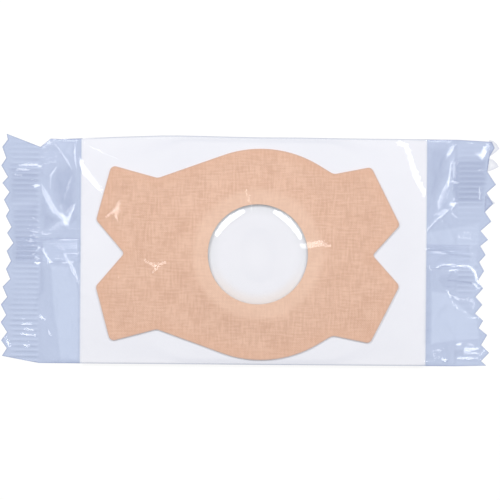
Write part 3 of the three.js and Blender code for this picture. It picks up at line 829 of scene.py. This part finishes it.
@dataclass
class Pouch:
    """The web of film: clear zones, crimped toothed ends, side folds and the lap seal on its back."""

    finish: ClearFinish
    seal: ClearFinish
    teeth: int = 13
    steps_per_half_tooth: int = 7
    rib_pitch: float = 1.82
    rib_height: float = 0.3
    # Painted light and shade along the crimp's ribs.
    rib_painted_shade: float = 0.35
    rib_fields: tuple = ((15.4, 32.9), (-14.4, -6.0))
    curl: float = 0.35
    ply: float = 0.05
    side_gap: float = 0.5
    paper_gap: float = 0.15
    dome_gap: float = 0.08
    dome_inset: float = 6.05
    dome_base: float = 0.4
    drape_run: float = 2.4
    far_drape_run: float = 8.0
    glint_height: float = 0.5
    ridge_height: float = 0.3
    crinkle_height: float = 0.1
    swell_height: float = 0.5
    fold_radius: float = 0.8
    pucker_depth: float = 3.1
    pucker_run: float = 3.6
    clear_left: float = 14.5
    clear_right: float = 10.9
    steps: tuple = (22, 36, 138, 30, 22)
    slack: float = 1.25
    frill_lift: float = 0.1
    flap_width: float = 8.5
    flap_ends: tuple = (5.0, 9.0)
    flap_middle: float = -1.6
    flap_skew: float = 0.9
    flap_height: float = 0.18
    flap_rib: float = 0.1
    flap_steps: tuple = (40, 30)
    flap_rib_steps: int = 6

    def __post_init__(self) -> None:
        """Reads the places that the film has to fit from the frame."""
        self.low, self.high = node_box("film_wrapper")
        self.liner_low, self.liner_high = node_box("release_liner")
        self.dome_low, self.dome_high = node_box("window_dome")
        self.plaster_top = node_box("plaster")[1].z
        self.centre = (self.dome_low + self.dome_high) / 2
        self.side_low = self.liner_low.y - self.side_gap
        self.side_high = self.liner_high.y + self.side_gap
        self.crimp_left = self.liner_low.x - self.clear_left
        self.crimp_right = self.liner_high.x + self.clear_right
        self.back = self.liner_low.z - self.paper_gap
        self.fused = self.back - self.ply
        self.rows = 2 * self.teeth * self.steps_per_half_tooth

    def stations(self) -> list[float]:
        """Stations along X: whole numbers where the zones meet, finer steps between them."""
        inner = [zone + i / steps for zone, steps in enumerate(self.steps) for i in range(steps)]
        return inner + [float(len(self.steps))]

    def cut(self, points: tuple, share: float) -> tuple[float, float]:
        """A place on an end's cut.

        Args:
            points: The cut's tooth tips and roots, from the top down.
            share: 0 at the lower side fold and 1 at the upper one.

        Returns:
            The place's x and y.
        """
        place = (1 - share) * (len(points) - 1)
        i = min(int(place), len(points) - 2)
        (ax, ay), (bx, by) = points[i : i + 2]
        return mix(ax, bx, place - i), mix(ay, by, place - i)

    def bow(self, x: float) -> float:
        """How far the upper side fold lies beyond its straight line.

        Args:
            x: Where along the pouch.

        Returns:
            The distance, in millimetres.
        """
        x = min(max(x, UPPER_SIDE_BOW[0][0]), UPPER_SIDE_BOW[-1][0] - 0.001)
        for (ax, ay), (bx, by) in zip(UPPER_SIDE_BOW, UPPER_SIDE_BOW[1:]):
            if ax <= x < bx:
                return mix(ay, by, (x - ax) / (bx - ax))
        return 0.0

    def from_side(self, x: float, y: float) -> float:
        """Distance of a point from the nearer side fold."""
        return min(self.side_high + self.bow(x) - y, y - self.side_low)

    def plan(self, zone: float, share: float) -> tuple[float, float]:
        """Where a point of the web lies in plan.

        Args:
            zone: 0 at the left cut, 1 at the left crimp's inner edge, 2 and 3 at the liner's ends, 4 at
                the right crimp's inner edge and 5 at the right cut.
            share: 0 at the lower side fold and 1 at the upper one.

        Returns:
            The point's x and y.
        """
        left, right = self.cut(LEFT_CUT, share), self.cut(RIGHT_CUT, share)
        xs = (left[0], self.crimp_left, self.liner_low.x, self.liner_high.x, self.crimp_right, right[0])
        i = min(int(zone), 4)
        x = mix(xs[i], xs[i + 1], zone - i)
        held = min(max(x, self.crimp_left), self.crimp_right)
        high = self.side_high + self.bow(held)
        if zone < 2:
            run = self.pucker_run / self.clear_left
            high -= self.pucker_depth * (1 - min(max(zone - 1, 0.0) / run, 1.0))
        y = mix(self.side_low, high, share)
        if zone < 1:
            y = mix(left[1], y, zone)
        elif zone > 4:
            y = mix(y, right[1], zone - 4)
        return x, y

    def laid(self, x: float, y: float) -> float:
        """Height of the upper ply over the contents, with no creases.

        Args:
            x: The point's x.
            y: The point's y.

        Returns:
            The height: a slack tent from the window's crown out to the folds, never below the dome.
        """
        dx, dy = x - self.centre.x, y - self.centre.y
        reach_x = self.centre.x - self.crimp_left if dx < 0 else self.crimp_right - self.centre.x
        reach_y = self.centre.y - self.side_low if dy < 0 else self.side_high - self.centre.y
        away = (abs(dx / reach_x) ** 3 + abs(dy / reach_y) ** 3) ** (1 / 3)
        run = self.drape_run + self.far_drape_run * smooth_step(abs(dx), 24, 44)
        draped = smooth_step(self.from_side(x, y), 0.0, run)
        floor = mix(self.liner_high.z + self.paper_gap, self.plaster_top - 0.2, draped)
        crown = self.dome_high.z + self.dome_gap
        tent = floor + (crown - floor) * max(0.0, 1 - math.sqrt(away * away + 0.003)) ** self.slack
        radius = math.hypot(dx, dy)
        foot = (self.dome_high.x - self.dome_low.x) / 2 - self.dome_inset
        rise = self.dome_high.z - self.dome_low.z - self.dome_base
        ball = (foot * foot + rise * rise) / (2 * rise)
        dome = crown - ball + math.sqrt(max(ball * ball - radius * radius, 0.0))
        over = max(tent, dome if radius < foot else 0.0)
        shut = smooth_step(x, self.crimp_left, self.liner_low.x + 0.5)
        shut *= 1 - smooth_step(x, self.liner_high.x - 0.5, self.crimp_right)
        return mix(self.back + self.ply, over, shut)

    def crumple(self, x: float, y: float) -> float:
        """Fine sharp-edged crumpling of the film in and near the clear zones.

        Args:
            x: The point's x.
            y: The point's y.

        Returns:
            How far the crumpling lifts the film.
        """
        near_left = 1 - smooth_step(x, self.liner_low.x, self.liner_low.x + 6)
        near_right = smooth_step(x, self.liner_high.x - 6, self.liner_high.x)
        zone = max(near_left, near_right)
        if zone <= 0:
            return 0.0
        ridge = max(1 - abs(ripple(x, y, 0.16, 0.11, 3.7 if x < 0 else 9.1) * 2.2), 0.0)
        crinkle = max(1 - abs(ripple(x, y, 0.42, 0.3, 1.3) * 2.2), 0.0)
        swell = max(ripple(x, y, 0.07, 0.06, 6.1), 0.0)
        folds = self.ridge_height * ridge**3 + self.crinkle_height * crinkle**3
        return zone * (folds + self.swell_height * swell)

    def glint(self, x: float, y: float) -> float:
        """How strongly the film is creased at a point of the upper ply."""
        ends = LEFT_GLINTS if x < self.centre.x else RIGHT_GLINTS
        return max(streak.cover(x, y) for streak in ends + MIDDLE_GLINTS)

    def tone(self, x: float, y: float, rib: float) -> float:
        """How much darker than plain film a point of the upper ply looks, as painted shade of facets and
        folds and painted light and shade along the ribs.
        """
        fold_shade = max(line.cover(x, y) for line in PAINTED_DARK_FOLDS)
        return sum(patch.cover(x, y) for patch in PAINTED_FACET_SHADES) + fold_shade - self.rib_painted_shade * rib

    def upper(self, zone: float, share: float) -> float:
        """Height of the upper ply.

        Args:
            zone: Where along the pouch, as for plan.
            share: Where across it, as for plan.

        Returns:
            The height, with creases and with its rounded side folds.
        """
        x, y = self.plan(zone, share)
        if zone <= 1 or zone >= 4:
            return self.fused + self.wave(zone, share) + self.ply
        lift = self.glint_height * self.glint(x, y) + self.crumple(x, y)
        inside = min(smooth_step(zone, 1.0, 1.1), 1 - smooth_step(zone, 3.9, 4.0))
        from_side = self.from_side(x, y)
        inside *= smooth_step(from_side, 0.1, 1.0)
        fold = math.sqrt(1 - (1 - min(max(from_side, 0.0) / self.fold_radius, 1.0)) ** 2)
        return mix(self.back, self.laid(x, y), 0.2 + 0.8 * fold) + lift * inside

    def lower(self, zone: float, share: float) -> float:
        """Height of the lower ply.

        Args:
            zone: Where along the pouch, as for plan.
            share: Where across it, as for plan.

        Returns:
            The height.
        """
        if zone <= 1 or zone >= 4:
            return self.fused + self.wave(zone, share) - self.ply
        return self.back - self.ply

    def rib(self, zone: float, share: float) -> float:
        """The crimp's ribs.

        Args:
            zone: Where along the pouch, as for plan.
            share: Where across it, as for plan.

        Returns:
            A value from -1 to 1, which fades at the crimp's inner edge and at the cut.
        """
        band = min(zone, 5 - zone)
        held = (1 - smooth_step(band, 0.9, 1.0)) * smooth_step(band, 0.1, 0.3)
        x, y = self.plan(zone, share)
        pressed = 0.85 + 0.7 * ripple(x, y, 0.12, 0.09, 5.0)
        if x > 0:
            near = max(smooth_step(y, a - 1, a) * (1 - smooth_step(y, b, b + 1)) for a, b in self.rib_fields)
            pressed *= 0.25 + 0.75 * near
        return math.sin(math.tau * y / self.rib_pitch) * held * max(pressed, 0.1)

    def wave(self, zone: float, share: float) -> float:
        """Height of the crimp, with its ribs and the slight curl of its cut edge.

        Args:
            zone: Where along the pouch, as for plan.
            share: Where across it, as for plan.

        Returns:
            The height over the pressed film.
        """
        x, y = self.plan(zone, share)
        curl = self.curl * (1 - min(zone, 5 - zone)) ** 2 * ripple(y, x, 0.07, 0.02, 2.2)
        return self.rib_height / 2 * self.rib(zone, share) + curl

    def sheet(self, height: Height) -> Mesh:
        """One ply as a grid over the whole web.

        Args:
            height: Height of the ply, from zone and share.

        Returns:
            The ply's mesh, in millimetres, facing up.
        """
        stations = self.stations()
        bm = bmesh.new()
        bmesh.ops.create_grid(bm, x_segments=len(stations) - 1, y_segments=self.rows, size=0.5)
        names = ("double_ply", "cut_edge", "glint", "tone")
        double, cut, glint, tone = [bm.verts.layers.float.new(name) for name in names]
        for vert in bm.verts:
            zone = stations[round((vert.co.x + 0.5) * (len(stations) - 1))]
            share = round((vert.co.y + 0.5) * self.rows) / self.rows
            x, y = self.plan(zone, share)
            vert.co = (x, y, height(zone, share))
            left = 1 - smooth_step(x, self.liner_low.x - 0.3, self.liner_low.x + 0.1)
            right = smooth_step(x, self.liner_high.x - 0.1, self.liner_high.x + 0.3)
            vert[double] = max(left, right)
            vert[cut] = 1.0 if zone in (0.0, 5.0) or share in (0.0, 1.0) else 0.0
            if height == self.upper:
                vert[glint] = self.glint(x, y)
                # The tone attribute carries the painted shade of facets, folds and ribs.
                vert[tone] = self.tone(x, y, self.rib(zone, share))
        return bm

    def build(self) -> bpy.types.Object:
        """Builds both plies as one closed web, with the lap seal.

        Returns:
            The piece that stands for the frame's film_wrapper.
        """
        bm = self.sheet(self.upper)
        under = self.sheet(self.lower)
        bmesh.ops.reverse_faces(under, faces=under.faces)
        self.join(bm, under)
        rims = [edge for edge in bm.edges if edge.is_boundary]
        bmesh.ops.bridge_loops(bm, edges=rims)
        self.join(bm, self.flap())
        self.join(bm, self.frills())
        piece = new_piece("pouch_film", bm, self.finish.build())
        piece.data.materials.append(self.seal.build())
        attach(piece, "root")
        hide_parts("film_wrapper")
        return piece

    def join(self, bm: Mesh, other: Mesh) -> None:
        """Moves one mesh into another.

        Args:
            bm: The mesh that takes it in.
            other: The mesh that is moved, and freed.
        """
        spare = bpy.data.meshes.new("spare")
        other.to_mesh(spare)
        other.free()
        bm.from_mesh(spare)
        bpy.data.meshes.remove(spare)

    def frills(self) -> Mesh:
        """Builds the film's bent-over corner bits at the right cut.

        Returns:
            The bits, as small single plies.
        """
        bits = bmesh.new()
        cut = bits.verts.layers.float.new("cut_edge")
        for outline in FRILLS:
            rim = [bits.verts.new((x, y, self.fused + self.ply + self.frill_lift)) for x, y in outline]
            face = bits.faces.new(rim[::-1])
            middle = bmesh.ops.poke(bits, faces=[face])["verts"]
            for vert in rim:
                vert[cut] = 0.5
            for vert in middle:
                vert[cut] = 0.0
        bmesh.ops.solidify(bits, geom=bits.faces[:], thickness=self.ply)
        return bits

    def flap(self) -> Mesh:
        """Builds the lap seal: two plies pressed together, folded flat under the back.

        Returns:
            The seal's mesh, with the second material.
        """
        flap = bmesh.new()
        steps_x, steps_y = self.flap_steps
        bmesh.ops.create_grid(flap, x_segments=steps_x, y_segments=steps_y, size=0.5)
        cut = flap.verts.layers.float.new("cut_edge")
        for vert in flap.verts:
            x = mix(self.low.x + self.flap_ends[0], self.high.x - self.flap_ends[1], vert.co.x + 0.5)
            share = vert.co.y + 0.5
            middle = self.flap_middle - self.flap_skew * x / self.high.x
            rib = self.flap_rib * math.sin(math.tau * round(share * steps_y) / self.flap_rib_steps)
            vert.co = (x, middle + (share - 0.5) * self.flap_width, self.flap_height + rib)
            vert[cut] = 1.0 if share < 0.01 or share > 0.99 else 0.0
        bmesh.ops.solidify(flap, geom=flap.faces[:], thickness=self.ply)
        for face in flap.faces:
            face.material_index = 1
        return flap


@dataclass
class Liner:
    """The release liner: one paper sheet, very slightly wavy, with eased corners."""

    finish: PaperFinish
    corner: float = 0.6
    wave: float = 0.05
    steps: float = 2.5

    def build(self) -> bpy.types.Object:
        """Returns: the piece that stands for the frame's release_liner."""
        low, high = node_box("release_liner")
        bm = bmesh.new()
        bmesh.ops.create_grid(
            bm,
            x_segments=round((high.x - low.x) / self.steps),
            y_segments=round((high.y - low.y) / self.steps),
            size=0.5,
        )
        for vert in bm.verts:
            x = mix(low.x, high.x, vert.co.x + 0.5)
            y = mix(low.y, high.y, vert.co.y + 0.5)
            vert.co = (x, y, high.z + self.wave * noise.noise(Vector((x, y, 0)) * 0.03) - self.wave / 2)
        corners = [v for v in bm.verts if len(v.link_edges) == 2]
        bmesh.ops.bevel(
            bm,
            geom=corners,
            offset=self.corner,
            segments=4,
            affect="VERTICES",
            profile=0.5,
            material=-1,
        )
        bmesh.ops.solidify(bm, geom=bm.faces[:], thickness=high.z - low.z - 0.06)
        piece = new_piece("liner_sheet", bm, self.finish.build())
        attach(piece, "root")
        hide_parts("release_liner")
        return piece


@dataclass
class Plaster:
    """The woven butterfly, with a soft collar where it rides over the window's flange."""

    finish: PlasterFinish
    cell: float = 1.3
    flat_area: float = 0.005292
    collar_in: float = 22.4
    collar_foot: float = 23.85
    collar_out: float = 31.0
    collar_share: float = 0.5
    flat_height: float = 0.45
    hem_start: float = 2.5
    thickness: float = 0.2
    sink: float = 0.06
    wave: float = 0.05

    def build(self) -> bpy.types.Object:
        """Returns: the piece that stands for the frame's plaster."""
        low, high = node_box("plaster")
        dome_low, dome_high = node_box("window_dome")
        centre = (dome_low + dome_high) / 2
        bm = bmesh.new()
        bm.from_mesh(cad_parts["plaster"].data)
        bmesh.ops.scale(bm, vec=(1 / MM, 1 / MM, 1 / MM), verts=bm.verts)
        bmesh.ops.remove_doubles(bm, verts=bm.verts, dist=0.001)
        flat_top = low.z + self.flat_height
        outline = self.hem(bm, centre, flat_top)
        self.divide(bm, low, high)
        inset = bm.verts.layers.float.new("edge_distance")
        over = bm.verts.layers.float.new("over_flange")
        for vert in bm.verts:
            vert[inset] = min(nearest(vert.co.x, vert.co.y, *piece)[1] for piece in outline)
            radius = (vert.co.xy - centre.xy).length
            # over_flange masks the painted lighter ring of the fabric over the flange.
            vert[over] = 1 - smooth_step(radius, self.collar_in - 1, self.collar_foot)
            collar = 1 - smooth_step(radius, self.collar_in, self.collar_out)
            wave = self.wave * noise.noise(vert.co * 0.09)
            raised = self.collar_share * (high.z - flat_top)
            on_top = vert.co.z > (high.z - 0.2 if radius < self.collar_foot else flat_top - 0.2)
            vert.co.z = low.z - self.sink + (self.thickness + wave if on_top else 0.0) + raised * collar
        piece = new_piece("plaster_fabric", bm, self.finish.build())
        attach(piece, "root")
        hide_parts("plaster")
        return piece

    def hem(self, bm: Mesh, centre: Vector, flat_top: float) -> list[tuple[Vector, Vector]]:
        """Finds the plaster's outer cut edge.

        Args:
            bm: The solid's mesh.
            centre: The middle of the hole.
            flat_top: Height of the fabric's upper face beyond the collar.

        Returns:
            The two ends of each straight piece of the edge, in plan.
        """
        top = [f for f in bm.faces if f.normal.z > 0.9 and abs(f.calc_center_median().z - flat_top) < 0.02]
        inside = set(top)
        return [
            (edge.verts[0].co.xy.copy(), edge.verts[1].co.xy.copy())
            for face in top
            for edge in face.edges
            if any(other not in inside for other in edge.link_faces)
            and (edge.verts[0].co.xy - centre.xy).length > self.collar_foot + self.hem_start
        ]

    def divide(self, bm: Mesh, low: Vector, high: Vector) -> None:
        """Cuts the fabric into cells along both axes, so that it can bend.

        Args:
            bm: The solid's mesh.
            low: The lowest corner of its box.
            high: The highest corner.
        """
        for axis in (0, 1):
            cuts = round((high[axis] - low[axis]) / self.cell)
            for i in range(1, cuts):
                point, normal = Vector(), Vector()
                point[axis] = low[axis] + (high[axis] - low[axis]) * i / cuts
                normal[axis] = 1
                geometry = bm.verts[:] + bm.edges[:] + bm.faces[:]
                bmesh.ops.bisect_plane(bm, geom=geometry, plane_co=point, plane_no=normal, dist=0.001)


@dataclass
class Window:
    """The clear dome with its flat flange, turned in one piece."""

    finish: ClearFinish
    wall: float = 0.4
    plate: float = 0.14
    flange: float = 6.0
    rim_gap: float = 0.05
    rim_start: float = 12.8
    rim_run: float = 4.0
    turns: int = 160
    rings: int = 20

    def profile(self) -> list[tuple[float, float]]:
        """Draws the section.

        Returns:
            The section's closed outline, as radius and height.
        """
        low, high = node_box("window_dome")
        outer = (high.x - low.x) / 2
        foot = outer - self.flange - self.rim_gap
        rise = high.z - low.z - self.plate
        ball = (foot * foot + rise * rise) / (2 * rise)

        def cap(edge: float, drop: float) -> list[tuple[float, float]]:
            """The dome's curve from its middle out to an edge, lowered by a drop."""
            radii = [edge * i / self.rings for i in range(self.rings + 1)]
            return [(r, high.z - ball + math.sqrt(ball * ball - r * r) - drop) for r in radii]

        inner = foot - self.wall
        flange_top = low.z + self.plate
        rim = [
            (outer - 0.15, flange_top),
            (outer, flange_top - 0.05),
            (outer, low.z + 0.05),
            (outer - 0.1, low.z),
            (inner + 0.1, low.z),
        ]
        return cap(foot, 0.0) + rim + cap(inner, self.wall)[::-1]

    def build(self) -> bpy.types.Object:
        """Returns: the piece that stands for the frame's window_dome."""
        low, high = node_box("window_dome")
        centre = (low + high) / 2
        bm = bmesh.new()
        points = [bm.verts.new((radius, 0.0, height)) for radius, height in self.profile()]
        edges = [bm.edges.new(pair) for pair in zip(points, points[1:])]
        bmesh.ops.spin(
            bm,
            geom=points + edges,
            cent=(0, 0, 0),
            axis=(0, 0, 1),
            angle=math.tau,
            steps=self.turns,
            use_merge=True,
        )
        bmesh.ops.remove_doubles(bm, verts=bm.verts, dist=0.001)
        bmesh.ops.recalc_face_normals(bm, faces=bm.faces)
        # Painted light at the rim, kept in double_ply and tone: grey shade towards the top, under the shadow
        # of the fabric's hole edge, and a pink reflection of the fabric towards the bottom.
        painted_rim_shade = bm.verts.layers.float.new("double_ply")
        painted_fabric_reflection = bm.verts.layers.float.new("tone")
        for vert in bm.verts:
            radius = vert.co.xy.length
            rise = vert.co.y / max(radius, 0.01)
            rim = smooth_step(radius, self.rim_start, self.rim_start + self.rim_run)
            vert[painted_rim_shade] = rim * smooth_step(rise, -0.7, 0.1)
            vert[painted_fabric_reflection] = rim * smooth_step(-rise, 0.1, 0.9)
        bmesh.ops.translate(bm, vec=(centre.x, centre.y, 0), verts=bm.verts)
        piece = new_piece("window_shell", bm, self.finish.build())
        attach(piece, "root")
        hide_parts("window_dome")
        return piece


@dataclass(frozen=True)
class Softbox:
    """A studio softbox, aimed at the part."""

    name: str
    bearing: float
    rise: float
    size: tuple
    radiance: float
    distance: float = 1.0

    def build(self) -> bpy.types.Object:
        """Returns: the lamp, at its place and turned to the part."""
        lamp = bpy.data.lights.new(self.name, "AREA")
        lamp.shape = "RECTANGLE"
        lamp.size, lamp.size_y = self.size
        lamp.energy = self.radiance * math.pi * self.size[0] * self.size[1]
        light = bpy.data.objects.new(self.name, lamp)
        turn, tip = math.radians(self.bearing), math.radians(self.rise)
        place = Vector((math.cos(turn) * math.cos(tip), math.sin(turn) * math.cos(tip), math.sin(tip)))
        light.location = place * self.distance
        light.rotation_euler = (-place).to_track_quat("-Z", "Y").to_euler()
        bpy.context.collection.objects.link(light)
        return light


@dataclass
class Studio:
    """A pale floor, soft lamps and the camera that looks straight down."""

    camera_height: float = 0.7
    view_width: float = 0.175
    sensor: float = 36.0
    look_at: tuple = (0.49 * MM, -0.4 * MM)
    roll: float = 0.45
    world_level: float = 0.62
    floor_size: float = 4.0
    floor_grey: float = 0.8
    floor_glow: float = 1.06
    glow_share: float = 0.8
    floor_drop: float = 0.02
    lamps: tuple = (
        Softbox("left_softbox", LAMP_BEARINGS[0], 26.5, (0.8, 0.2), 13.6),
        Softbox("right_softbox", LAMP_BEARINGS[1], 26.5, (0.8, 0.18), 12.8),
    )

    def build(self) -> None:
        """Builds the world, the floor, the lamps and the camera."""
        self.make_world()
        self.make_floor()
        for lamp in self.lamps:
            lamp.build()
        self.make_camera()
        bpy.context.scene.view_settings.view_transform = "Standard"

    def backdrop_rays(self, nodes: Nodes) -> Socket:
        """Tells the rays that show the backdrop from those that light the part.

        Args:
            nodes: The node tree to add to.

        Returns:
            1 for a ray from the camera, a mirror or glass.
        """
        path = nodes.add("ShaderNodeLightPath").outputs
        mirrored = nodes.math("MAXIMUM", path["Is Glossy Ray"], path["Is Transmission Ray"])
        return nodes.math("MAXIMUM", path["Is Camera Ray"], mirrored)

    def make_world(self) -> None:
        """A plain light grey surrounding, which the camera sees as white."""
        world = bpy.data.worlds.new("studio")
        bpy.context.scene.world = world
        world.use_nodes = True
        world.node_tree.nodes.clear()
        n = Nodes(world.node_tree)
        level = n.ramp(self.backdrop_rays(n), 0.0, 1.0, self.world_level, 1.0)
        light = n.add("ShaderNodeBackground", {"Color": (1, 1, 1, 1), "Strength": level})
        out = n.add("ShaderNodeOutputWorld")
        n.tree.links.new(light.outputs[0], out.inputs[0])

    def make_floor(self) -> None:
        """A white floor that keeps a faint shadow of the part."""
        material, n, out = new_material("floor_paint")
        paint = n.add("ShaderNodeBsdfDiffuse", {"Color": (*[self.floor_grey] * 3, 1)})
        glow = n.add("ShaderNodeEmission", {"Color": (1, 1, 1, 1), "Strength": self.floor_glow})
        floor = n.layered(n.math("MULTIPLY", self.backdrop_rays(n), self.glow_share), paint, glow)
        n.tree.links.new(floor.outputs[0], out.inputs[0])
        bm = bmesh.new()
        bmesh.ops.create_grid(bm, x_segments=1, y_segments=1, size=self.floor_size / 2 / MM)
        bmesh.ops.translate(bm, vec=(0, 0, -self.floor_drop), verts=bm.verts)
        new_piece("studio_floor", bm, material, smooth=False)

    def make_camera(self) -> None:
        """The camera, straight above, turned a little because the pouch lies a little askew."""
        data = bpy.data.cameras.new("camera")
        data.sensor_width = self.sensor
        data.lens = self.sensor * self.camera_height / self.view_width
        camera = bpy.data.objects.new("camera", data)
        camera.location = (*self.look_at, self.camera_height)
        camera.rotation_euler = (0, 0, math.radians(self.roll))
        bpy.context.collection.objects.link(camera)
        bpy.context.scene.camera = camera


FILM = ClearFinish(
    name="clear_film_finish",
    passed=(0.965, 0.967, 0.985, 1.0),
    passed_double=(0.757, 0.808, 0.915, 1.0),
    haze=0.02,
    haze_double=0.12,
    ripple=0.25,
    ripple_size=140.0,
    facet_shade=0.08,
    painted_light_and_shade=0.36,
    plain_shade=0.14,
    head_on=0.04,
    glint_gain=1.3,
)

SEAL = ClearFinish(
    name="lap_seal_finish",
    passed=(0.985, 0.988, 0.995, 1.0),
    passed_double=(0.985, 0.988, 0.995, 1.0),
    haze=0.01,
    haze_double=0.01,
    head_on=0.015,
    edge_shade=0.5,
    cut_shade=0.1,
)

# Its passed_double is the painted grey shade of the upper rim, and its edge_colour the painted pink
# reflection of the fabric on the lower rim.
WINDOW = ClearFinish(
    name="clear_window_finish",
    passed=(1.0, 0.998, 0.995, 1.0),
    passed_double=(0.965, 0.967, 0.96, 1.0),
    haze=0.0,
    haze_double=0.0,
    edge_colour=(1.0, 0.94, 0.88, 1.0),
    edge_shade=0.0,
    painted_light_and_shade=0.7,
    head_on=0.035,
    gloss=0.05,
    lit=(1.0, 1.0, 1.0, 1.0),
)


def main() -> None:
    """Builds the part and its studio."""
    logging.basicConfig(level=logging.INFO, format="%(name)s %(message)s")
    Studio().build()
    for assembly in (Liner(PaperFinish()), Window(WINDOW), Plaster(PlasterFinish()), Pouch(FILM, SEAL)):
        piece = assembly.build()
        LOG.info("%s is in place", piece.name)


if __name__ == "__main__":
    main()
